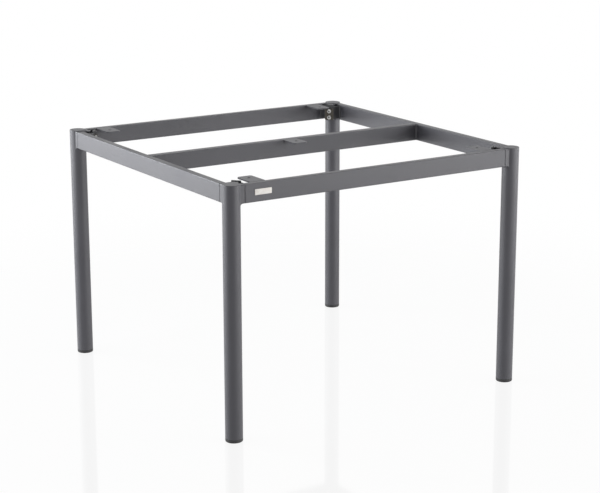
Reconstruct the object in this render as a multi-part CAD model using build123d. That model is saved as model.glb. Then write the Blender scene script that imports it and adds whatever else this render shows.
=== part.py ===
from build123d import *
import math
import os

# Overall size, in millimetres
HEIGHT = 700.0
LEG_SPACING_X = 920.0
LEG_SPACING_Y = 920.0

# Leg tubes
LEG_DIAMETER = 48.0
LEG_WALL = 2.0
LEG_PROUD = 8.0

# Rails, and the wider cross rail between the side rails
RAIL_HEIGHT = 50.0
RAIL_WIDTH = 20.0
CROSS_RAIL_WIDTH = 24.0
RAIL_WALL = 2.0
RAIL_EDGE_RADIUS = 2.0

# Cast leg heads: a round top proud of the rails, two flat stubs, a gusset, a screw boss and a spigot
HEAD_RISE = 2.0
HEAD_EDGE_RADIUS = 1.5
STUB_LENGTH = 8.0
STUB_FILLET = 6.0
SEAM_BREAK = 1.2
HEAD_SKIRT = 10.0
HEAD_WALL = 7.0
HEAD_TOP = 6.0
SPIGOT_LENGTH = 30.0
SPIGOT_CLEARANCE = 0.2
BOSS_WIDTH = 18.0
BOSS_LENGTH = 16.0
BOSS_EDGE_RADIUS = 1.0
GUSSET_SETBACK = 4.0
GUSSET_THICKNESS = 6.0

# Corner brackets, folded plates that cross each corner of the rails
BRACKET_THICKNESS = 4.0
BRACKET_HEIGHT = 51.0
BRACKET_TOP_GAP = 1.0
BRACKET_BEND = 2.0
WEB_WIDTH = 30.0
WING_DROP = 5.0
DRAW_GAP = 10.0

# Clamp plates and the button-head screws that draw each leg into its corner
CLAMP_THICKNESS = 3.0
CLAMP_MARGIN = 1.0
CLAMP_CORNER = 3.0
SCREW_DIAMETER = 8.0
SCREW_HEAD_DIAMETER = 14.0
SCREW_HEAD_HEIGHT = 4.4
SCREW_HEAD_RIM = 0.8
SCREW_CROWN_DIAMETER = 7.0
SCREW_SOCKET_WIDTH = 5.0
SCREW_SOCKET_DEPTH = 2.6
SCREW_ENGAGEMENT = 15.0
SCREW_DEPTH = 22.0
SCREW_SPACING = 20.0
SCREW_HOLE_CLEARANCE = 0.5
THREAD_CLEARANCE = 0.1
BORE_RUNOUT = 2.0

# Fixing tabs for the table top
TAB_THICKNESS = 4.0
TAB_WIDTH = 44.0
TAB_LENGTH = 72.0
TAB_GAP = 12.0
TAB_CORNER = 7.0
TAB_HOLE_DIAMETER = 9.0
TAB_HOLE_REACH = 46.0
CENTRE_TAB_LENGTH = 60.0
CENTRE_TAB_HOLE_REACH = 32.0

# Push-in foot glides
GLIDE_HEIGHT = 10.0
GLIDE_EDGE_RADIUS = 3.0
GLIDE_STEM_LENGTH = 22.0
GLIDE_STEM_CLEARANCE = 0.8
GLIDE_STEM_WALL = 3.0
GLIDE_RIB_COUNT = 3
GLIDE_RIB_CLEARANCE = 0.2
GLIDE_FLOOR = 3.0

# Places that follow from the sizes above
LEG_RADIUS = LEG_DIAMETER / 2
RAIL_SETBACK = LEG_RADIUS - LEG_PROUD
RAIL_INSET = RAIL_WIDTH - RAIL_SETBACK
RAIL_LINE = RAIL_WIDTH / 2 - RAIL_SETBACK
RAIL_TOP = HEIGHT - HEAD_RISE
RAIL_BOTTOM = RAIL_TOP - RAIL_HEIGHT
SEAM = LEG_RADIUS + STUB_LENGTH
GUSSET_REACH = SEAM - GUSSET_SETBACK
HEAD_BASE = RAIL_BOTTOM - HEAD_SKIRT
CORE_RADIUS = LEG_RADIUS - HEAD_WALL
TUBE_BORE = LEG_RADIUS - LEG_WALL
BOSS_END = LEG_RADIUS + BOSS_LENGTH
WEB_BACK = BOSS_END + DRAW_GAP
WEB_FACE = WEB_BACK + BRACKET_THICKNESS
CLAMP_FACE = WEB_FACE + CLAMP_THICKNESS
SCREW_LENGTH = CLAMP_FACE - BOSS_END + SCREW_ENGAGEMENT
SCREW_LEVELS = (HEIGHT - SCREW_DEPTH, HEIGHT - SCREW_DEPTH - SCREW_SPACING)
SCREW_MIDDLE = sum(SCREW_LEVELS) / len(SCREW_LEVELS)
SCREW_HOLE_RADIUS = SCREW_DIAMETER / 2 + SCREW_HOLE_CLEARANCE
WING_FACE = (WEB_FACE + WEB_WIDTH / 2) / math.sqrt(2)
WING_END = (WEB_FACE - WEB_WIDTH / 2) / math.sqrt(2)
TAB_CENTRE = WING_FACE + TAB_GAP + TAB_WIDTH / 2

# The corners, each with its signs along X and Y and the turn that points +X +Y inwards
CORNERS = {
    "front_left": (-1, -1, 0),
    "front_right": (1, -1, 90),
    "back_right": (1, 1, 180),
    "back_left": (-1, 1, 270),
}
DIAGONAL = Plane(origin=(0, 0, 0), x_dir=(1, 1, 0), z_dir=(1, -1, 0))
STANDING = (Align.CENTER, Align.CENTER, Align.MIN)
HEXAGON = 6

# How far an edge may lie from a plane and still count as in it
TOLERANCE = 0.01


def place(shape, corner):
    """Moves a shape from the corner frame, leg axis at the origin, to its own corner."""
    side_x, side_y, turn = CORNERS[corner]
    return Pos(side_x * LEG_SPACING_X / 2, side_y * LEG_SPACING_Y / 2, 0) * Rot(0, 0, turn) * shape


def across(distance, level=0.0):
    """The upright plane across a corner's diagonal, at a distance from the leg axis."""
    step = distance / math.sqrt(2)
    return Plane(origin=(step, step, level), x_dir=(-1, 1, 0), z_dir=(1, 1, 0))


def rail(length, width):
    """A rectangular tube with rounded long edges, along X, just below the leg heads' tops."""
    outside = RectangleRounded(width, RAIL_HEIGHT, RAIL_EDGE_RADIUS)
    inside = Rectangle(width - 2 * RAIL_WALL, RAIL_HEIGHT - 2 * RAIL_WALL)
    section = Plane.YZ * Pos(0, RAIL_BOTTOM + RAIL_HEIGHT / 2) * (outside - inside)
    return extrude(section, length / 2, both=True)


def outer_rail(length):
    """A rail between two leg heads, its end edges broken where the seams are."""
    tube = rail(length, RAIL_WIDTH)
    ends = tube.faces().filter_by(Axis.X)
    return chamfer([edge for end in ends for edge in end.outer_wire().edges()], SEAM_BREAK)


def at_level(edge, level):
    """True for an edge that lies flat at a level."""
    box = edge.bounding_box()
    return max(abs(box.min.Z - level), abs(box.max.Z - level)) < TOLERANCE


def on_seam(edge):
    """True for an edge in one of a leg head's two seam planes."""
    box = edge.bounding_box()
    return max(box.min.X, box.min.Y) > SEAM - TOLERANCE


def is_crease(edge):
    """True for an edge as tall as a stub, where the stub's side meets the drum."""
    return abs(edge.length - RAIL_HEIGHT) < TOLERANCE and not on_seam(edge)


def head_body():
    """The drum up to the rails' top with its two stubs: soft fillets where they meet, rounded edges."""
    drum = Pos(0, 0, HEAD_BASE) * Cylinder(LEG_RADIUS, RAIL_TOP - HEAD_BASE, align=STANDING)
    stub = Pos(0, RAIL_LINE, RAIL_BOTTOM) * Box(
        SEAM, RAIL_WIDTH, RAIL_HEIGHT, align=(Align.MIN, Align.CENTER, Align.MIN)
    )
    body = drum + stub + mirror(stub, about=DIAGONAL)
    creases = body.edges().filter_by(Axis.Z).filter_by(is_crease)
    arches = body.edges().filter_by(GeomType.CIRCLE).filter_by(lambda edge: at_level(edge, RAIL_BOTTOM))
    body = fillet(creases + arches, STUB_FILLET)
    inner = body.edges().filter_by(on_seam, reverse=True)
    rim = inner.filter_by(lambda edge: at_level(edge, RAIL_TOP))
    keel = inner.filter_by(GeomType.LINE).filter_by(lambda edge: at_level(edge, RAIL_BOTTOM))
    body = fillet(rim + keel, RAIL_EDGE_RADIUS)
    return chamfer(body.edges().filter_by(on_seam), SEAM_BREAK)


def round_top():
    """The round end of the leg that stands proud of the rails, its rim rounded."""
    base = RAIL_TOP - HEAD_TOP
    top = Pos(0, 0, base) * Cylinder(LEG_RADIUS, HEIGHT - base, align=STANDING)
    return fillet(top.edges().filter_by(lambda edge: at_level(edge, HEIGHT)), HEAD_EDGE_RADIUS)


def gusset():
    """The flat plate that fills the inner corner between the stubs, level with the rails' top."""
    base = RAIL_TOP - GUSSET_THICKNESS
    plate = Pos(0, 0, base) * Box(
        GUSSET_REACH, GUSSET_REACH, GUSSET_THICKNESS, align=(Align.MIN, Align.MIN, Align.MIN)
    )
    outer = plate.edges().filter_by(lambda edge: edge.center().X + edge.center().Y > GUSSET_REACH)
    return fillet(outer.filter_by(lambda edge: at_level(edge, RAIL_TOP)), BOSS_EDGE_RADIUS)


def leg_head():
    """A cast head in the corner frame, cored out from below, with two tapped bores in its boss."""
    lowest = min(SCREW_LEVELS)
    boss_outline = Rectangle(BOSS_WIDTH, RAIL_TOP - lowest, align=(Align.CENTER, Align.MIN))
    boss = extrude(across(0, lowest) * (boss_outline + Circle(BOSS_WIDTH / 2)), BOSS_END)
    boss = fillet(boss.edges().filter_by(lambda edge: at_level(edge, RAIL_TOP)), BOSS_EDGE_RADIUS)
    core_base = HEAD_BASE - SPIGOT_LENGTH
    spigot_radius = TUBE_BORE - SPIGOT_CLEARANCE
    spigot = Pos(0, 0, core_base) * Cylinder(spigot_radius, SPIGOT_LENGTH + HEAD_SKIRT, align=STANDING)
    core = Pos(0, 0, core_base) * Cylinder(CORE_RADIUS, RAIL_TOP - HEAD_TOP - core_base, align=STANDING)
    head = head_body() + round_top() + gusset() + boss + spigot - core
    for level in SCREW_LEVELS:
        bore = across(BOSS_END, level) * Circle(SCREW_DIAMETER / 2 + THREAD_CLEARANCE)
        head -= extrude(bore, -(SCREW_ENGAGEMENT + BORE_RUNOUT))
    return head


def leg_tube():
    """A round tube from the foot glide's flange up to the leg head's skirt."""
    ring = Circle(LEG_RADIUS) - Circle(TUBE_BORE)
    return extrude(Pos(0, 0, GLIDE_HEIGHT) * ring, HEAD_BASE - GLIDE_HEIGHT)


def foot_glide():
    """A turned profile: flange with a rounded floor edge, hollow stem with barbed ribs."""
    stem = TUBE_BORE - GLIDE_STEM_CLEARANCE
    rib = TUBE_BORE - GLIDE_RIB_CLEARANCE
    stem_top = GLIDE_HEIGHT + GLIDE_STEM_LENGTH
    pitch = GLIDE_STEM_LENGTH / (GLIDE_RIB_COUNT + 1)
    barbs = []
    for number in range(1, GLIDE_RIB_COUNT + 1):
        foot = GLIDE_HEIGHT + number * pitch
        barbs += [(stem, foot), (rib, foot), (stem, foot + pitch / 2)]
    floor_edge = LEG_RADIUS - GLIDE_EDGE_RADIUS
    outline = Line((0, 0), (floor_edge, 0))
    outline += RadiusArc((floor_edge, 0), (LEG_RADIUS, GLIDE_EDGE_RADIUS), -GLIDE_EDGE_RADIUS)
    outline += Polyline(
        (LEG_RADIUS, GLIDE_EDGE_RADIUS),
        (LEG_RADIUS, GLIDE_HEIGHT),
        (stem, GLIDE_HEIGHT),
        *barbs,
        (stem, stem_top),
        (stem - GLIDE_STEM_WALL, stem_top),
        (stem - GLIDE_STEM_WALL, GLIDE_FLOOR),
        (0, GLIDE_FLOOR),
        (0, 0),
    )
    return revolve(Plane.XZ * make_face(outline), Axis.Z)


def corner_bracket():
    """A folded plate in the corner frame: a web across the diagonal, shorter wings square to the rails."""
    half = BRACKET_THICKNESS / 2
    wing_line = WING_FACE - half
    fold = WING_END - half * math.tan(math.pi / 8)
    path = FilletPolyline(
        (wing_line, RAIL_INSET),
        (wing_line, fold),
        (fold, wing_line),
        (RAIL_INSET, wing_line),
        radius=BRACKET_BEND + half,
    )
    middle = HEIGHT - BRACKET_TOP_GAP - BRACKET_HEIGHT / 2
    section = Pos(0, 0, middle) * trace(path, BRACKET_THICKNESS)
    web = Rectangle(WEB_WIDTH - 2 * BRACKET_BEND, BRACKET_HEIGHT)
    bracket = extrude(section, BRACKET_HEIGHT / 2 - WING_DROP, both=True)
    bracket += extrude(across(WEB_BACK, middle) * web, BRACKET_THICKNESS)
    for level in SCREW_LEVELS:
        bracket -= extrude(across(WEB_BACK, level) * Circle(SCREW_HOLE_RADIUS), BRACKET_THICKNESS)
    return bracket


def clamp_plate():
    """A rectangular plate under one leg's two screws, on the web's inner face."""
    height = SCREW_SPACING + SCREW_HEAD_DIAMETER + 2 * CLAMP_MARGIN
    outline = RectangleRounded(WEB_WIDTH - 2 * CLAMP_MARGIN, height, CLAMP_CORNER)
    plate = extrude(across(WEB_FACE, SCREW_MIDDLE) * outline, CLAMP_THICKNESS)
    for level in SCREW_LEVELS:
        plate -= extrude(across(WEB_FACE, level) * Circle(SCREW_HOLE_RADIUS), CLAMP_THICKNESS)
    return plate


def leg_screw(level):
    """A button-head socket screw in the corner frame, its domed head a slice of a ball on the axis."""
    rim = SCREW_HEAD_DIAMETER / 2
    crown = SCREW_CROWN_DIAMETER / 2
    rise = SCREW_HEAD_HEIGHT - SCREW_HEAD_RIM
    ball_depth = (rim**2 - crown**2 - rise**2) / (2 * rise)
    dome = RadiusArc((rim, SCREW_HEAD_RIM), (crown, SCREW_HEAD_HEIGHT), -math.hypot(rim, ball_depth))
    profile = Polyline((0, SCREW_HEAD_HEIGHT), (0, 0), (rim, 0), dome @ 0)
    profile += dome + Line(dome @ 1, (0, SCREW_HEAD_HEIGHT))
    head = revolve(Plane.XZ * make_face(profile), Axis.Z)
    socket_outline = RegularPolygon(SCREW_SOCKET_WIDTH / 2, HEXAGON, major_radius=False)
    socket = Pos(0, 0, SCREW_HEAD_HEIGHT) * socket_outline
    shank = Cylinder(SCREW_DIAMETER / 2, SCREW_LENGTH, align=(Align.CENTER, Align.CENTER, Align.MAX))
    return across(CLAMP_FACE, level) * (head + shank - extrude(socket, -SCREW_SOCKET_DEPTH))


def fixing_tab(centre, root, inward, length, hole_reach):
    """A flat tab welded to a rail's face at Y = root, reaching along +Y or -Y, with one hole."""
    outline = Rectangle(TAB_WIDTH, length, align=(Align.CENTER, Align.MIN))
    outline = fillet(outline.vertices().sort_by(Axis.Y)[-2:], TAB_CORNER)
    outline -= Pos(0, hole_reach) * Circle(TAB_HOLE_DIAMETER / 2)
    tab = extrude(Pos(0, 0, RAIL_TOP - TAB_THICKNESS) * outline, TAB_THICKNESS)
    return Pos(centre, root, 0) * Rot(0, 0, 0 if inward > 0 else 180) * tab


def rails():
    """The four outer rails and the cross rail, by name."""
    length_x = LEG_SPACING_X - 2 * SEAM
    length_y = LEG_SPACING_Y - 2 * SEAM
    line_x = LEG_SPACING_X / 2 - RAIL_LINE
    line_y = LEG_SPACING_Y / 2 - RAIL_LINE
    return {
        "front_rail": Pos(0, -line_y, 0) * outer_rail(length_x),
        "back_rail": Pos(0, line_y, 0) * outer_rail(length_x),
        "left_rail": Pos(-line_x, 0, 0) * Rot(0, 0, 90) * outer_rail(length_y),
        "right_rail": Pos(line_x, 0, 0) * Rot(0, 0, 90) * outer_rail(length_y),
        "cross_rail": rail(LEG_SPACING_X - 2 * RAIL_INSET, CROSS_RAIL_WIDTH),
    }


def corner_pieces():
    """Every piece that repeats at the four corners, by name."""
    pieces = {}
    makers = {
        "leg_tube": leg_tube,
        "leg_head": leg_head,
        "foot_glide": foot_glide,
        "corner_bracket": corner_bracket,
        "clamp_plate": clamp_plate,
    }
    for kind, make in makers.items():
        shape = make()
        for corner in CORNERS:
            pieces[f"{kind}_{corner}"] = place(shape, corner)
    return pieces


def fixing_tabs():
    """Two tabs on the front rail, two on the back rail and one on the cross rail, by name."""
    tabs = {}
    root = LEG_SPACING_Y / 2 - RAIL_INSET
    for corner, (side_x, side_y, _) in CORNERS.items():
        centre = side_x * (LEG_SPACING_X / 2 - TAB_CENTRE)
        tab = fixing_tab(centre, side_y * root, -side_y, TAB_LENGTH, TAB_HOLE_REACH)
        tabs[f"fixing_tab_{corner}"] = tab
    cross_face = -CROSS_RAIL_WIDTH / 2
    tabs["fixing_tab_centre"] = fixing_tab(0, cross_face, -1, CENTRE_TAB_LENGTH, CENTRE_TAB_HOLE_REACH)
    return tabs


def leg_screws():
    """The eight screws, two at each corner, as one group."""
    return Compound([place(leg_screw(level), corner) for corner in CORNERS for level in SCREW_LEVELS])


def main():
    """Builds every piece and writes one file for each."""
    os.makedirs("parts", exist_ok=True)
    pieces = {**rails(), **corner_pieces(), **fixing_tabs(), "leg_screws": leg_screws()}
    for name, shape in pieces.items():
        export_step(shape, f"parts/{name}.step")


if __name__ == "__main__":
    main()
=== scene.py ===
"""Dresses the table frame: powder coat, welds, screws, feet and a blank plate, in a plain white studio."""

import logging
import math
from dataclasses import dataclass
from enum import Enum

import bpy
import numpy as np
from mathutils import Matrix, Vector
from numpy.typing import NDArray


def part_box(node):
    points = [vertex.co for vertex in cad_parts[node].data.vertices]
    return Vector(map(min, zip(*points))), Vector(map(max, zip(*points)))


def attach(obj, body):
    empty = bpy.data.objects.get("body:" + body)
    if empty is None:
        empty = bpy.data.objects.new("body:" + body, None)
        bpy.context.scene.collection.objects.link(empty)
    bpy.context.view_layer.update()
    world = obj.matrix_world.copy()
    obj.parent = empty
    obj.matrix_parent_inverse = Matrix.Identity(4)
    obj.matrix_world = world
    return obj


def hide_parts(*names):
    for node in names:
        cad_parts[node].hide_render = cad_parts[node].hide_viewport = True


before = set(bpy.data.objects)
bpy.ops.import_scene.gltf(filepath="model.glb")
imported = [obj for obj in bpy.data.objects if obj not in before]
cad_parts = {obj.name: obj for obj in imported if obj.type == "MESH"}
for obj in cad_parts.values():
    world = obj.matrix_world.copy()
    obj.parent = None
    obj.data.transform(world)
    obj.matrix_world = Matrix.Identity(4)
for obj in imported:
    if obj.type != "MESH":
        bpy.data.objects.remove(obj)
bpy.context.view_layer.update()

Array = NDArray[np.float64]
Faces = NDArray[np.int64]
NodeSocket = bpy.types.NodeSocket
Colour = tuple[float, float, float]
Point = tuple[float, float, float]
Span = tuple[float, float]

BODY = "root"
# The point attribute that marks the screws' sockets for painted shade.
SOCKET_SHADE_MARK = "socket"
SMOOTH_ANGLE = math.radians(35)
RIGHT_ANGLE = 90.0
UP = np.array([0.0, 0.0, 1.0])
WHITE: Colour = (1.0, 1.0, 1.0)
COOL_WHITE: Colour = (0.95, 0.97, 1.0)
UNIT: Span = (0.0, 1.0)
# The range that most of a noise's values keep to, and a narrower one for more contrast.
NOISE: Span = (0.3, 0.7)
NOISE_CORE: Span = (0.35, 0.65)
log = logging.getLogger("table_frame")


class Corner(Enum):
    """The frame's corners, with the signs of their places along X and Y."""

    FRONT_LEFT = (-1, -1)
    FRONT_RIGHT = (1, -1)
    BACK_RIGHT = (1, 1)
    BACK_LEFT = (-1, 1)

    @property
    def label(self) -> str:
        """The corner's name at the end of its nodes' names."""
        return self.name.lower()

    @property
    def inward(self) -> Array:
        """The level unit vector from the leg's axis to the middle of the frame."""
        return np.array([-self.value[0], -self.value[1], 0.0]) / math.sqrt(2)


class Peel(Enum):
    """How coarse a powder coat lies: the size of its waves, in metres."""

    DRAWN = 0.0035
    CAST = 0.0055


class Slope(Enum):
    """How a value runs from one end of its range to the other."""

    STRAIGHT = "LINEAR"
    SOFT = "SMOOTHSTEP"


class Graph:
    """A node tree while it is laid out."""

    def __init__(self, owner: bpy.types.Material | bpy.types.World) -> None:
        """Starts with the owner's node tree, emptied.

        Args:
            owner: the material or the world.
        """
        owner.use_nodes = True
        self.tree = owner.node_tree
        self.tree.nodes.clear()

    def add(self, kind: str, inputs: dict[str | int, object] | None = None,
            **settings: object) -> bpy.types.Node:
        """Adds a node.

        Args:
            kind: the node's type.
            inputs: what its sockets get, by their names or numbers.
            settings: its properties.

        Returns:
            The new node.
        """
        node = self.tree.nodes.new(kind)
        for key, value in settings.items():
            setattr(node, key, value)
        for key, value in (inputs or {}).items():
            self.feed(node.inputs[key], value)
        return node

    def feed(self, target: NodeSocket, value: object) -> None:
        """Links a socket to another one, or sets an opaque colour or a plain value on it.

        Args:
            target: the socket.
            value: another socket, a colour or a number.
        """
        if isinstance(value, NodeSocket):
            self.tree.links.new(value, target)
        elif target.type == "RGBA":
            target.default_value = (*value, 1.0)
        else:
            target.default_value = value

    def combine(self, operation: str, first: NodeSocket, second: NodeSocket | float) -> NodeSocket:
        """One step of arithmetic.

        Args:
            operation: the step's name.
            first: a socket.
            second: a socket or a number.

        Returns:
            The result.
        """
        return self.add("ShaderNodeMath", {0: first, 1: second}, operation=operation).outputs[0]

    def remap(self, value: NodeSocket, before: Span, after: Span,
              slope: Slope = Slope.STRAIGHT) -> NodeSocket:
        """Carries a value from one range to another, clamped at its ends.

        Args:
            value: what is carried.
            before: the range that it has.
            after: the range that it gets.
            slope: how it runs in between.

        Returns:
            The carried value.
        """
        ends = dict(zip(("From Min", "From Max", "To Min", "To Max"), before + after))
        node = self.add("ShaderNodeMapRange", {"Value": value, **ends}, interpolation_type=slope.value)
        return node.outputs["Result"]

    def mix_shaders(self, share: NodeSocket | float, first: bpy.types.Node,
                    second: bpy.types.Node) -> bpy.types.Node:
        """A shader between two shaders.

        Args:
            share: 0 for the first one, 1 for the second one.
            first: the shader at 0.
            second: the shader at 1.

        Returns:
            The mixed shader.
        """
        return self.add("ShaderNodeMixShader", {"Fac": share, 1: first.outputs[0], 2: second.outputs[0]})

    def seen(self) -> NodeSocket:
        """A value of 1 for rays from the camera and for reflected and refracted ones, 0 for the rest.

        Returns:
            The value.
        """
        path = self.add("ShaderNodeLightPath")
        total = path.outputs["Is Camera Ray"]
        for name in ("Is Glossy Ray", "Is Transmission Ray"):
            total = self.combine("MAXIMUM", total, path.outputs[name])
        return total


class Recipe(Graph):
    """A piece's material while it is laid out: nodes that end in a Principled shader."""

    def __init__(self, name: str) -> None:
        """Starts a material with a plain shader.

        Args:
            name: the material's name.
        """
        self.material = bpy.data.materials.new(name)
        super().__init__(self.material)
        self.shader = self.add("ShaderNodeBsdfPrincipled")
        self.add("ShaderNodeOutputMaterial", {"Surface": self.shader.outputs["BSDF"]})
        self.place = self.add("ShaderNodeTexCoord").outputs["Object"]

    def dress(self, **looks: object) -> None:
        """Feeds the shader's own sockets, named in lower case with underscores."""
        for name, value in looks.items():
            self.feed(self.shader.inputs[name.replace("_", " ").title()], value)

    def noise(self, size: float, detail: float = 2.0, stretch: Point = (1.0, 1.0, 1.0)) -> NodeSocket:
        """A noise on Object coordinates.

        Args:
            size: the width of its blotches, in metres.
            detail: how many finer layers it has.
            stretch: how much longer the blotches are along X, Y and Z.

        Returns:
            The noise's value, from 0 to 1.
        """
        scale = [1 / (size * share) for share in stretch]
        place = self.add("ShaderNodeMapping", {"Vector": self.place, "Scale": scale}).outputs["Vector"]
        texture = self.add("ShaderNodeTexNoise", {"Vector": place, "Scale": 1.0, "Detail": detail})
        return texture.outputs["Fac"]

    def flecks(self, size: float) -> NodeSocket:
        """A scatter of cells on Object coordinates, each with its own random grey.

        Args:
            size: the width of a cell, in metres.

        Returns:
            The cells' grey, from 0 to 1.
        """
        return self.add("ShaderNodeTexVoronoi", {"Vector": self.place, "Scale": 1 / size}).outputs["Color"]

    def attribute(self, name: str) -> NodeSocket:
        """The value of one of the piece's own attributes."""
        return self.add("ShaderNodeAttribute", attribute_name=name).outputs["Fac"]

    def blend(self, first: NodeSocket, second: NodeSocket, share: float) -> NodeSocket:
        """Two values added up, each times its share.

        Args:
            first: a value.
            second: another value.
            share: the first one's share, from 0 to 1. The second one gets the rest.

        Returns:
            The blended value.
        """
        return self.combine("ADD", self.combine("MULTIPLY", first, share),
                            self.combine("MULTIPLY", second, 1 - share))

    def tint(self, value: NodeSocket, first: Colour | NodeSocket, second: Colour) -> NodeSocket:
        """A colour between two colours.

        Args:
            value: 0 for the first one, 1 for the second one.
            first: the colour at 0, plain or from a socket.
            second: the colour at 1.

        Returns:
            The colour.
        """
        node = self.add("ShaderNodeMix", {"Factor": value, "A": first, "B": second}, data_type="RGBA")
        return node.outputs["Result"]

    def relief(self, *layers: tuple[NodeSocket, float]) -> None:
        """Gives the shader a bumped normal.

        Args:
            layers: pairs of a height, from 0 to 1, and its depth in metres.
        """
        below: dict[str, NodeSocket] = {}
        for height, depth in layers:
            node = self.add("ShaderNodeBump", {"Height": height, "Distance": depth, **below})
            below = {"Normal": node.outputs["Normal"]}
        self.feed(self.shader.inputs["Normal"], below["Normal"])


def shade(colour: Colour, factor: float) -> Colour:
    """A colour made lighter or darker by a factor."""
    return tuple(channel * factor for channel in colour)


@dataclass(frozen=True)
class PowderCoat:
    """A fine-textured satin powder coat: a grainy skin over soft waves, faintly clouded."""

    name: str
    peel: Peel
    colour: Colour = (0.062, 0.061, 0.070)
    roughness: Span = (0.37, 0.47)
    cloud: float = 0.07
    cloud_size: float = 0.16
    fleck: float = 0.10
    grain_size: float = 0.0006
    grain_depth: float = 0.00004
    wave_depth: float = 0.00006

    def material(self) -> bpy.types.Material:
        """The coat as a material.

        Returns:
            The new material.
        """
        recipe = Recipe(self.name)
        clouds = recipe.noise(self.cloud_size, detail=3.0)
        speckle = recipe.blend(recipe.flecks(self.grain_size), clouds, self.fleck)
        dark, light = shade(self.colour, 1 - self.cloud), shade(self.colour, 1 + self.cloud)
        recipe.dress(
            base_color=recipe.tint(recipe.remap(speckle, NOISE, UNIT), dark, light),
            roughness=recipe.remap(clouds, NOISE, self.roughness),
        )
        waves = recipe.noise(self.peel.value)
        grain = recipe.noise(self.grain_size, detail=1.0)
        recipe.relief((waves, self.wave_depth), (grain, self.grain_depth))
        return recipe.material


@dataclass(frozen=True)
class PlatedSteel:
    """Dull plated sheet steel with rolling marks along its height."""

    name: str
    dark: Colour = (0.048, 0.043, 0.036)
    light: Colour = (0.095, 0.086, 0.072)
    roughness: Span = (0.38, 0.55)
    metallic: float = 0.75
    streak: float = 0.0006
    streak_length: float = 30.0
    streak_depth: float = 0.00002
    streak_share: float = 0.5
    blotch: float = 0.012

    def material(self) -> bpy.types.Material:
        """The plating as a material.

        Returns:
            The new material.
        """
        recipe = Recipe(self.name)
        streaks = recipe.noise(self.streak, detail=1.0, stretch=(1.0, 1.0, self.streak_length))
        blotches = recipe.noise(self.blotch, detail=3.0)
        mottle = recipe.blend(streaks, blotches, self.streak_share)
        recipe.dress(
            base_color=recipe.tint(recipe.remap(mottle, NOISE_CORE, UNIT), self.dark, self.light),
            roughness=recipe.remap(streaks, NOISE, self.roughness),
            metallic=self.metallic,
        )
        recipe.relief((streaks, self.streak_depth))
        return recipe.material


@dataclass(frozen=True)
class TurnedSteel:
    """Bright turned steel with fine tool marks; the sockets are painted dark: partly their dull oxide, partly
    painted shade.
    """

    name: str
    dark: Colour = (0.42, 0.42, 0.41)
    light: Colour = (0.58, 0.58, 0.565)
    # The sockets' colour: painted shade, with a little of their own dull oxide.
    grease: Colour = (0.06, 0.058, 0.054)
    roughness: Span = (0.34, 0.48)
    metallic: float = 1.0
    mark: float = 0.0005
    mark_depth: float = 0.00001

    def material(self) -> bpy.types.Material:
        """The steel as a material.

        Returns:
            The new material.
        """
        recipe = Recipe(self.name)
        marks = recipe.noise(self.mark)
        steel = recipe.tint(recipe.remap(marks, NOISE, UNIT), self.dark, self.light)
        recipe.dress(
            # Painted shade in the sockets: the steel turns to the socket colour where the socket mark is 1.
            base_color=recipe.tint(recipe.attribute(SOCKET_SHADE_MARK), steel, self.grease),
            roughness=recipe.remap(marks, NOISE, self.roughness),
            metallic=self.metallic,
        )
        recipe.relief((marks, self.mark_depth))
        return recipe.material


@dataclass(frozen=True)
class MouldedPlastic:
    """Matt dark plastic with a sparked mould texture, scuffed paler in patches where it meets the floor."""

    name: str
    colour: Colour = (0.014, 0.014, 0.0145)
    roughness: Span = (0.50, 0.62)
    scuff: Colour = (0.032, 0.0315, 0.0305)
    scuff_height: float = 0.0035
    scuff_size: float = 0.004
    scuff_edge: Span = (0.4, 0.65)
    spark_size: float = 0.0009
    spark_depth: float = 0.00006

    def material(self) -> bpy.types.Material:
        """The plastic as a material.

        Returns:
            The new material.
        """
        recipe = Recipe(self.name)
        height = recipe.add("ShaderNodeSeparateXYZ", {"Vector": recipe.place}).outputs["Z"]
        low = recipe.remap(height, (0.0, self.scuff_height), (1.0, 0.0))
        patches = recipe.remap(recipe.noise(self.scuff_size, detail=3.0), self.scuff_edge, UNIT)
        sparks = recipe.noise(self.spark_size, detail=1.0)
        recipe.dress(
            base_color=recipe.tint(recipe.combine("MULTIPLY", low, patches), self.colour, self.scuff),
            roughness=recipe.remap(sparks, NOISE, self.roughness),
        )
        recipe.relief((sparks, self.spark_depth))
        return recipe.material


@dataclass(frozen=True)
class CreamPlate:
    """A blank cream plate, smooth and faintly mottled."""

    name: str
    dark: Colour = (0.76, 0.72, 0.67)
    light: Colour = (0.84, 0.81, 0.77)
    roughness: Span = (0.30, 0.40)
    mottle: float = 0.006
    ripple_depth: float = 0.00002

    def material(self) -> bpy.types.Material:
        """The plate's face as a material.

        Returns:
            The new material.
        """
        recipe = Recipe(self.name)
        mottle = recipe.noise(self.mottle, detail=4.0)
        recipe.dress(
            base_color=recipe.tint(recipe.remap(mottle, NOISE_CORE, UNIT), self.dark, self.light),
            roughness=recipe.remap(mottle, NOISE_CORE, self.roughness),
        )
        recipe.relief((mottle, self.ripple_depth))
        return recipe.material


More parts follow.
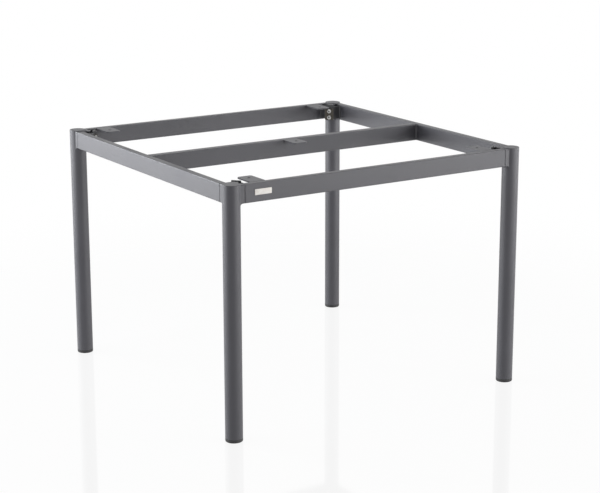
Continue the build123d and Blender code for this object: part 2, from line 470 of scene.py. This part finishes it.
def stacked(rings: Array) -> tuple[Array, Faces, Faces]:
    """A closed surface through a stack of rings: quads between rings, a fan to the middle of each end ring.

    The faces are turned over where the cones from the middle to them enclose a negative volume.

    Args:
        rings: points, as ring by place on the ring by coordinate.

    Returns:
        The points, the quads and the fans' triangles.
    """
    count, around, _ = rings.shape
    points = np.concatenate([rings.reshape(-1, 3), rings[[0, -1]].mean(axis=1)])
    ring, spot = np.meshgrid(np.arange(count - 1) * around, np.arange(around), indexing="ij")
    ahead = (spot + 1) % around
    corners = [ring + spot, ring + ahead, ring + around + ahead, ring + around + spot]
    quads = np.stack(corners, axis=-1).reshape(-1, 4)
    first = np.arange(around)
    last = first + (count - 1) * around
    low = np.stack([np.full(around, count * around), np.roll(first, -1), first], axis=1)
    high = np.stack([np.full(around, count * around + 1), last, np.roll(last, -1)], axis=1)
    fans = np.concatenate([low, high])
    triangles = np.concatenate([quads[:, :3], quads[:, [0, 2, 3]], fans])
    cones = (points - points.mean(axis=0))[triangles]
    if np.einsum("ij,ij->", cones[:, 0], np.cross(cones[:, 1], cones[:, 2])) < 0:
        quads, fans = quads[:, ::-1], fans[:, ::-1]
    return points, quads, fans


def make_piece(name: str, surfaces: list[Array], material: bpy.types.Material) -> bpy.types.Object:
    """Makes one piece of closed surfaces and lets it ride on the frame.

    Args:
        name: the piece's name.
        surfaces: a stack of rings for each closed surface.
        material: its finish.

    Returns:
        The new object.
    """
    points, faces, total = [], [], 0
    for rings in surfaces:
        some_points, quads, fans = stacked(rings)
        points.append(some_points)
        faces += (quads + total).tolist() + (fans + total).tolist()
        total += len(some_points)
    mesh = bpy.data.meshes.new(name)
    mesh.from_pydata(np.concatenate(points).tolist(), [], faces)
    mesh.shade_smooth()
    mesh.set_sharp_from_angle(angle=SMOOTH_ANGLE)
    mesh.materials.append(material)
    piece = bpy.data.objects.new(name, mesh)
    bpy.context.scene.collection.objects.link(piece)
    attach(piece, BODY)
    log.info("made %s: %d points, %d faces", name, len(mesh.vertices), len(mesh.polygons))
    return piece


def finish_nodes(material: bpy.types.Material, names: list[str]) -> None:
    """Gives CAD nodes a finish.

    Args:
        material: the finish.
        names: the nodes.
    """
    for name in names:
        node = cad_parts[name]
        for slot in node.material_slots:
            slot.material = material
        log.info("finished %s with %s", name, material.name)


def corner_nodes(kind: str) -> list[str]:
    """The names of the nodes of one kind that repeat at the four corners."""
    return [f"{kind}_{corner.label}" for corner in Corner]


def box_ends(name: str) -> tuple[Array, Array]:
    """The low and the high corner of a CAD node's box."""
    low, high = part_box(name)
    return np.array(low), np.array(high)


@dataclass
class WeldBead:
    """A fillet weld: a rounded bead along an inside corner, rippled by the torch and tapered at its ends."""

    start: Array
    end: Array
    sides: tuple[Array, Array]
    leg: float
    bulge: float = 0.12
    ripple: float = 0.10
    pitch: float = 0.003
    tip_area: float = 0.02
    sink: float = 0.0003
    steps_per_ripple: int = 6
    arc_steps: int = 9

    def section(self) -> Array:
        """The cut through a bead with a leg of one: an arc from side to side, and the corner behind it.

        At angle t the arc's radius is one plus the bulge times the sine of 2 t, less a shoulder: one minus
        the bulge, times one minus the larger of the cosine and the sine of t.

        Returns:
            Points, as place on the ring by coordinate.
        """
        turn = np.linspace(0.0, math.pi / 2, self.arc_steps)
        shoulder = 1 - np.maximum(np.cos(turn), np.sin(turn))
        radius = 1 + self.bulge * np.sin(2 * turn) - (1 - self.bulge) * shoulder
        first, second = self.sides
        arc = np.outer(radius * np.cos(turn), first) + np.outer(radius * np.sin(turn), second)
        return np.concatenate([arc, np.zeros((1, 3))])

    def sizes(self, share: Array, length: float) -> Array:
        """The bead's size along its run.

        It is the leg times one plus the ripple times a rectified sine less one half. Within a leg of each
        end, where x runs from 0 at the tip to 1, it is also times the root of x times 2 minus x, or of the
        share of its area that the tip keeps.

        Args:
            share: the places along the run, from 0 to 1.
            length: the run's length.

        Returns:
            A size for each place.
        """
        wave = np.abs(np.sin(math.pi * share * length / self.pitch)) - 0.5
        reach = np.minimum(np.minimum(share, 1 - share) * length / self.leg, 1.0)
        taper = np.sqrt(np.maximum(reach * (2 - reach), self.tip_area))
        return self.leg * (1 + self.ripple * wave) * taper

    def rings(self) -> Array:
        """The bead's surface: its section carried from start to end, times its size there, sunk a little.

        Returns:
            Points, as ring by place on the ring by coordinate.
        """
        run = self.end - self.start
        length = float(np.linalg.norm(run))
        share = np.linspace(0.0, 1.0, int(length / self.pitch * self.steps_per_ripple))
        path = (self.start + share[:, None] * run)[:, None, :]
        bead = self.sizes(share, length)[:, None, None] * self.section()
        return path + bead - self.sink * sum(self.sides)


@dataclass
class RailFrame:
    """The outer rails, the cross rail and its welds, and the tabs that hold the top."""

    coat: PowderCoat
    weld_leg: float = 0.0055
    tab_weld_leg: float = 0.003
    top_clearance: float = 0.002

    def build(self) -> None:
        """Coats the rails and tabs and lays the welds."""
        material = self.coat.material()
        rails = ["front_rail", "back_rail", "left_rail", "right_rail", "cross_rail"]
        finish_nodes(material, rails + corner_nodes("fixing_tab") + ["fixing_tab_centre"])
        make_piece("cross_rail_welds", self.cross_rail_welds(), material)
        make_piece("fixing_tab_welds", self.tab_welds(), material)

    def cross_rail_welds(self) -> list[Array]:
        """Beads down both sides of each end of the cross rail.

        Returns:
            A stack of rings for each bead.
        """
        low, high = box_ends("cross_rail")
        top = high[2] - self.top_clearance
        beads = []
        for end_x, into in ((low[0], 1.0), (high[0], -1.0)):
            for side_y, outward in ((low[1], -1.0), (high[1], 1.0)):
                start, end = np.array([end_x, side_y, low[2]]), np.array([end_x, side_y, top])
                sides = (np.array([into, 0.0, 0.0]), np.array([0.0, outward, 0.0]))
                beads.append(WeldBead(start, end, sides, self.weld_leg).rings())
        return beads

    def tab_welds(self) -> list[Array]:
        """A bead under each tab, where it meets its rail.

        Returns:
            A stack of rings for each bead.
        """
        rail_sides = {f"fixing_tab_{corner.label}": corner.value[1] for corner in Corner}
        rail_sides["fixing_tab_centre"] = 1
        beads = []
        for name, side in rail_sides.items():
            low, high = box_ends(name)
            root_y = high[1] if side > 0 else low[1]
            start, end = np.array([low[0], root_y, low[2]]), np.array([high[0], root_y, low[2]])
            away = np.array([0.0, -side, 0.0])
            beads.append(WeldBead(start, end, (away, -UP), self.tab_weld_leg).rings())
        return beads


@dataclass
class LegSet:
    """The legs, their cast heads and their feet."""

    tube_coat: PowderCoat
    head_coat: PowderCoat
    plastic: MouldedPlastic

    def build(self) -> None:
        """Coats the tubes and heads and dresses the feet."""
        finish_nodes(self.tube_coat.material(), corner_nodes("leg_tube"))
        finish_nodes(self.head_coat.material(), corner_nodes("leg_head"))
        finish_nodes(self.plastic.material(), corner_nodes("foot_glide"))


@dataclass
class LegScrew:
    """A button-head socket screw with a rolled thread, as a stack of rings about its axis."""

    diameter: float = 0.008
    length: float = 0.032
    pitch: float = 0.00125
    thread_depth: float = 0.0007
    plain_neck: float = 0.0015
    head_diameter: float = 0.014
    head_height: float = 0.0044
    head_rim: float = 0.0008
    crown_diameter: float = 0.007
    socket_width: float = 0.005
    socket_depth: float = 0.0026
    socket_lead: float = 0.0003
    drill_point: float = 0.0007
    around: int = 36
    rings_per_turn: int = 6
    dome_rings: int = 8
    socket_rings: int = 3

    def angles(self) -> Array:
        """The angles of a ring's points, in equal steps round a whole turn."""
        return np.arange(self.around) * math.tau / self.around

    def shank(self) -> tuple[Array, Array]:
        """The threaded shank, from its tip up to the neck.

        The thread is a helix: at angle t and height z the radius drops by the depth times a triangle wave of
        z over the pitch less t over a whole turn.

        Returns:
            The radii, as ring by place on the ring, and the rings' heights.
        """
        turns = (self.length - self.plain_neck) / self.pitch
        heights = np.linspace(-self.length, -self.plain_neck, int(turns * self.rings_per_turn))
        phase = (heights[:, None] / self.pitch - self.angles() / math.tau) % 1.0
        return self.diameter / 2 - self.thread_depth * np.abs(2 * phase - 1), heights

    def head(self) -> tuple[Array, Array]:
        """The plain neck, the seat and the round head.

        The head is a slice of a ball: above its rim, the radius squared is the ball's radius squared less the
        square of the height over the ball's middle.

        Returns:
            The radii, as ring by place on the ring, and the rings' heights.
        """
        neck, rim, crown = self.diameter / 2, self.head_diameter / 2, self.crown_diameter / 2
        rise = self.head_height - self.head_rim
        ball_depth = (rim**2 - crown**2 - rise**2) / (2 * rise)
        lift = np.linspace(0.0, rise, self.dome_rings)
        dome = np.sqrt(rim**2 + ball_depth**2 - (lift + ball_depth) ** 2)
        radii = np.array([neck, neck, rim, *dome])
        heights = np.array([-self.plain_neck, 0.0, 0.0, *(self.head_rim + lift)])
        return radii[:, None].repeat(self.around, axis=1), heights

    def socket(self) -> tuple[Array, Array]:
        """The six-sided socket, from the broken edge of its mouth down to the drill's point.

        At angle t its radius is half the width over the cosine of t folded into one sixth of a turn.

        Returns:
            The radii, as ring by place on the ring, and the rings' heights.
        """
        sixth = math.tau / 6
        hexagon = self.socket_width / 2 / np.cos((self.angles() + sixth / 2) % sixth - sixth / 2)
        point = np.full(self.around, self.drill_point)
        mouth, floor = self.head_height, self.head_height - self.socket_depth
        radii = np.stack([hexagon + self.socket_lead, hexagon, hexagon, point])
        return radii, np.array([mouth, mouth - self.socket_lead, floor, floor - self.socket_lead])

    def profile(self) -> Array:
        """The screw in its own frame, seat at the origin and head along +Z.

        Returns:
            Points, as ring by place on the ring by coordinate.
        """
        radii, heights = zip(self.shank(), self.head(), self.socket())
        radius = np.concatenate(radii)
        level = np.concatenate(heights)[:, None].repeat(self.around, axis=1)
        angle = self.angles()
        return np.stack([radius * np.cos(angle), radius * np.sin(angle), level], axis=-1)

    def socket_marks(self) -> Array:
        """Painted-shade marks for the closed surface's points: 1 from inside the socket's mouth to its floor,
        0 elsewhere.

        Returns:
            A mark for each point of the rings, then for the middles of the tip and of the socket's floor.
        """
        marks = np.zeros(self.profile().shape[:2])
        marks[-self.socket_rings:] = 1.0
        return np.concatenate([marks.ravel(), [0.0, 1.0]])


@dataclass
class CornerJoints:
    """The folded brackets, their clamp plates and the screws that draw the legs in."""

    coat: PowderCoat
    plating: PlatedSteel
    steel: TurnedSteel
    screw: LegScrew
    screw_spacing: float = 0.020
    clamp_thickness: float = 0.003
    wing_drop: float = 0.005
    wing_weld_leg: float = 0.0045

    def build(self) -> None:
        """Finishes the brackets and plates, lays the welds and cuts the threaded screws."""
        coat = self.coat.material()
        finish_nodes(coat, corner_nodes("corner_bracket"))
        finish_nodes(self.plating.material(), corner_nodes("clamp_plate"))
        make_piece("corner_bracket_welds", self.wing_welds(), coat)
        placed = self.screws()
        screws = make_piece("threaded_leg_screws", placed, self.steel.material())
        # The socket marks place the painted shade in each screw's socket.
        marks = np.tile(self.screw.socket_marks(), len(placed))
        screws.data.attributes.new(SOCKET_SHADE_MARK, "FLOAT", "POINT").data.foreach_set("value", marks)
        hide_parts("leg_screws")

    def wing_welds(self) -> list[Array]:
        """A bead down each wing of a bracket, where it stands on its rail, on the side away from the leg.

        Returns:
            A stack of rings for each bead.
        """
        beads = []
        for corner in Corner:
            low, high = box_ends(f"corner_bracket_{corner.label}")
            towards = np.sign(corner.inward)
            outer, inner = np.where(towards > 0, low, high), np.where(towards > 0, high, low)
            sides = (towards * (1.0, 0.0, 0.0), towards * (0.0, 1.0, 0.0))
            for foot in ((inner[0], outer[1]), (outer[0], inner[1])):
                start = np.array([*foot, low[2] + self.wing_drop])
                end = np.array([*foot, high[2] - self.wing_drop])
                beads.append(WeldBead(start, end, sides, self.wing_weld_leg).rings())
        return beads

    def screws(self) -> list[Array]:
        """Two screws at each corner, their heads on the clamp plate's inner face.

        Returns:
            A stack of rings for each screw.
        """
        local = self.screw.profile()
        placed = []
        for corner in Corner:
            low, high = box_ends(f"clamp_plate_{corner.label}")
            seat = (low + high) / 2 + corner.inward * self.clamp_thickness / 2
            axes = np.stack([np.cross(UP, corner.inward), UP, corner.inward])
            for rise in (self.screw_spacing / 2, -self.screw_spacing / 2):
                placed.append(local @ axes + seat + UP * rise)
        return placed


@dataclass
class BlankPlate:
    """A thin blank plate with rounded corners and a soft edge, on the front rail's outer face."""

    finish: CreamPlate
    width: float = 0.051
    height: float = 0.0155
    thickness: float = 0.0012
    corner: float = 0.0012
    edge: float = 0.0005
    from_rail_end: float = 0.029
    below_top: float = 0.0237
    corner_steps: int = 8
    edge_steps: int = 5

    def outline(self, inset: float) -> Array:
        """The plate's outline drawn in by an inset: four quarter circles, one at each corner.

        Args:
            inset: how far the outline is drawn in, less than the corners' radius.

        Returns:
            Points across and up, from the plate's middle.
        """
        radius = self.corner - inset
        middle = np.array([self.width / 2, self.height / 2]) - inset - radius
        turn = np.linspace(0.0, math.pi / 2, self.corner_steps)
        quarters = []
        for quarter, signs in enumerate(((1, 1), (-1, 1), (-1, -1), (1, -1))):
            angle = turn + quarter * math.pi / 2
            arc = radius * np.stack([np.cos(angle), np.sin(angle)], axis=1)
            quarters.append(arc + middle * signs)
        return np.concatenate(quarters)

    def build(self) -> None:
        """Makes the plate: its outline stacked from the rail outwards, rounded over by a quarter circle."""
        low, high = box_ends("front_rail")
        middle_x = low[0] + self.from_rail_end + self.width / 2
        centre = np.array([middle_x, low[1], high[2] - self.below_top])
        turn = np.linspace(0.0, math.pi / 2, self.edge_steps)
        insets = np.concatenate([[0.0], self.edge * (1 - np.cos(turn))])
        lifts = np.concatenate([[0.0], self.thickness - self.edge * (1 - np.sin(turn))])
        rings = []
        for inset, lift in zip(insets, lifts):
            across, up = self.outline(inset).T
            rings.append(centre + np.stack([across, np.full_like(across, -lift), up], axis=1))
        make_piece("blank_plate", [np.array(rings)], self.finish.material())


@dataclass
class Softbox:
    """A large soft lamp."""

    name: str
    place: Point
    size: Span
    power: float
    aim: Point = (0.0, 0.0, 0.5)
    colour: Colour = WHITE

    def build(self) -> None:
        """Hangs the lamp, turns it to its aim and hides it from the camera."""
        lamp = bpy.data.lights.new(self.name, "AREA")
        lamp.shape = "RECTANGLE"
        lamp.size, lamp.size_y = self.size
        lamp.energy = self.power
        lamp.color = self.colour
        holder = bpy.data.objects.new(self.name, lamp)
        holder.location = self.place
        holder.rotation_mode = "QUATERNION"
        holder.rotation_quaternion = (Vector(self.aim) - Vector(self.place)).to_track_quat("-Z", "Y")
        holder.visible_camera = False
        bpy.context.scene.collection.objects.link(holder)
        log.info("hung %s", self.name)


@dataclass
class Studio:
    """A white floor and world, soft lamps and the camera."""

    lamps: tuple[Softbox, ...]
    camera_place: Point = (-2.5709, -4.1226, 1.6206)
    camera_turn: float = 32.35
    camera_drop: float = 14.42
    camera_roll: float = 0.11
    lens: float = 101.08
    sensor: float = 36.0
    floor_size: float = 60.0
    floor_albedo: float = 0.8
    shadow_share: float = 0.05
    shadow_reach: Span = (0.9, 2.4)
    gloss_share: float = 0.07
    gloss_roughness: float = 0.05
    fill: float = 0.08

    def build(self) -> None:
        """Sets the view transform, the world, the floor, the lamps and the camera."""
        bpy.context.scene.view_settings.view_transform = "Standard"
        self.build_world()
        self.build_floor()
        for lamp in self.lamps:
            lamp.build()
        self.build_camera()

    def build_world(self) -> None:
        """Makes a world that looks white and lights softly."""
        world = bpy.data.worlds.new("white_studio")
        graph = Graph(world)
        fill = graph.add("ShaderNodeBackground", {"Color": WHITE, "Strength": self.fill})
        white = graph.add("ShaderNodeBackground", {"Color": WHITE})
        look = graph.mix_shaders(graph.seen(), fill, white)
        graph.add("ShaderNodeOutputWorld", {"Surface": look.outputs[0]})
        bpy.context.scene.world = world

    def build_floor(self) -> None:
        """Lays a square floor under the frame."""
        half = self.floor_size / 2
        corners = [(-half, -half, 0), (half, -half, 0), (half, half, 0), (-half, half, 0)]
        mesh = bpy.data.meshes.new("floor")
        mesh.from_pydata(corners, [], [(0, 1, 2, 3)])
        mesh.materials.append(self.floor_material())
        floor = bpy.data.objects.new("floor", mesh)
        bpy.context.scene.collection.objects.link(floor)

    def floor_material(self) -> bpy.types.Material:
        """A floor that looks white, keeps a soft shadow near the frame and mirrors its feet faintly.

        What is seen is plain white with a share of lit matt, which carries the shadow and fades with the
        distance from the middle, and a share of gloss. What the floor throws back on the frame is matt alone.

        Returns:
            The new material.
        """
        material = bpy.data.materials.new("white_floor")
        graph = Graph(material)
        white = graph.add("ShaderNodeEmission")
        matt = graph.add("ShaderNodeBsdfDiffuse", {"Color": shade(WHITE, self.floor_albedo)})
        gloss = graph.add("ShaderNodeBsdfGlossy", {"Color": WHITE, "Roughness": self.gloss_roughness})
        place = graph.add("ShaderNodeTexCoord").outputs["Object"]
        distance = graph.add("ShaderNodeVectorMath", {0: place}, operation="LENGTH").outputs["Value"]
        fade = graph.remap(distance, self.shadow_reach, (self.shadow_share, 0.0), Slope.SOFT)
        shadowed = graph.mix_shaders(fade, white, matt)
        mirrored = graph.mix_shaders(self.gloss_share, shadowed, gloss)
        look = graph.mix_shaders(graph.seen(), matt, mirrored)
        graph.add("ShaderNodeOutputMaterial", {"Surface": look.outputs[0]})
        return material

    def build_camera(self) -> None:
        """Sets the camera at the photograph's viewing angle.

        It looks straight down before it is turned, so it is raised by a right angle less its drop.
        """
        data = bpy.data.cameras.new("camera")
        data.lens = self.lens
        data.sensor_width = self.sensor
        data.sensor_fit = "HORIZONTAL"
        camera = bpy.data.objects.new("camera", data)
        camera.location = self.camera_place
        turns = ((-self.camera_turn, "Z"), (RIGHT_ANGLE - self.camera_drop, "X"), (-self.camera_roll, "Z"))
        turn, drop, roll = (Matrix.Rotation(math.radians(angle), 3, axis) for angle, axis in turns)
        camera.rotation_euler = (turn @ drop @ roll).to_euler()
        bpy.context.scene.collection.objects.link(camera)
        bpy.context.scene.camera = camera


def main() -> None:
    """Dresses the frame piece by piece and sets up the studio."""
    logging.basicConfig(level=logging.INFO, format="%(name)s: %(message)s")
    drawn = PowderCoat("powder_coat_drawn", Peel.DRAWN)
    cast = PowderCoat("powder_coat_cast", Peel.CAST)
    # The brackets' coat is the same coat made darker: painted shade for the shaded corners they stand in.
    folded = PowderCoat("powder_coat_folded_shaded", Peel.DRAWN, colour=(0.05, 0.05, 0.053))
    RailFrame(drawn).build()
    LegSet(drawn, cast, MouldedPlastic("glide_plastic")).build()
    CornerJoints(folded, PlatedSteel("plated_clamp"), TurnedSteel("bright_screw"), LegScrew()).build()
    BlankPlate(CreamPlate("cream_plate")).build()
    Studio(lamps=(
        Softbox("back_left_softbox", (-3.1, 3.3, 1.1), size=(2.2, 2.0), power=186.0, aim=(-0.2, 0.0, 0.5),
                colour=COOL_WHITE),
        Softbox("left_softbox", (-3.6, 0.8, 1.0), size=(1.8, 1.6), power=78.0, colour=COOL_WHITE),
        Softbox("right_softbox", (3.3, -3.4, 1.1), size=(1.9, 2.0), power=116.0, aim=(0.1, -0.1, 0.5)),
        Softbox("front_softbox", (1.3, -4.6, 1.2), size=(2.0, 2.0), power=60.0),
        Softbox("far_right_softbox", (3.4, -0.9, 1.0), size=(1.6, 1.8), power=32.0),
        Softbox("top_softbox", (0.0, 0.4, 3.2), size=(2.4, 2.4), power=10.0),
    )).build()


if __name__ == "__main__":
    main()
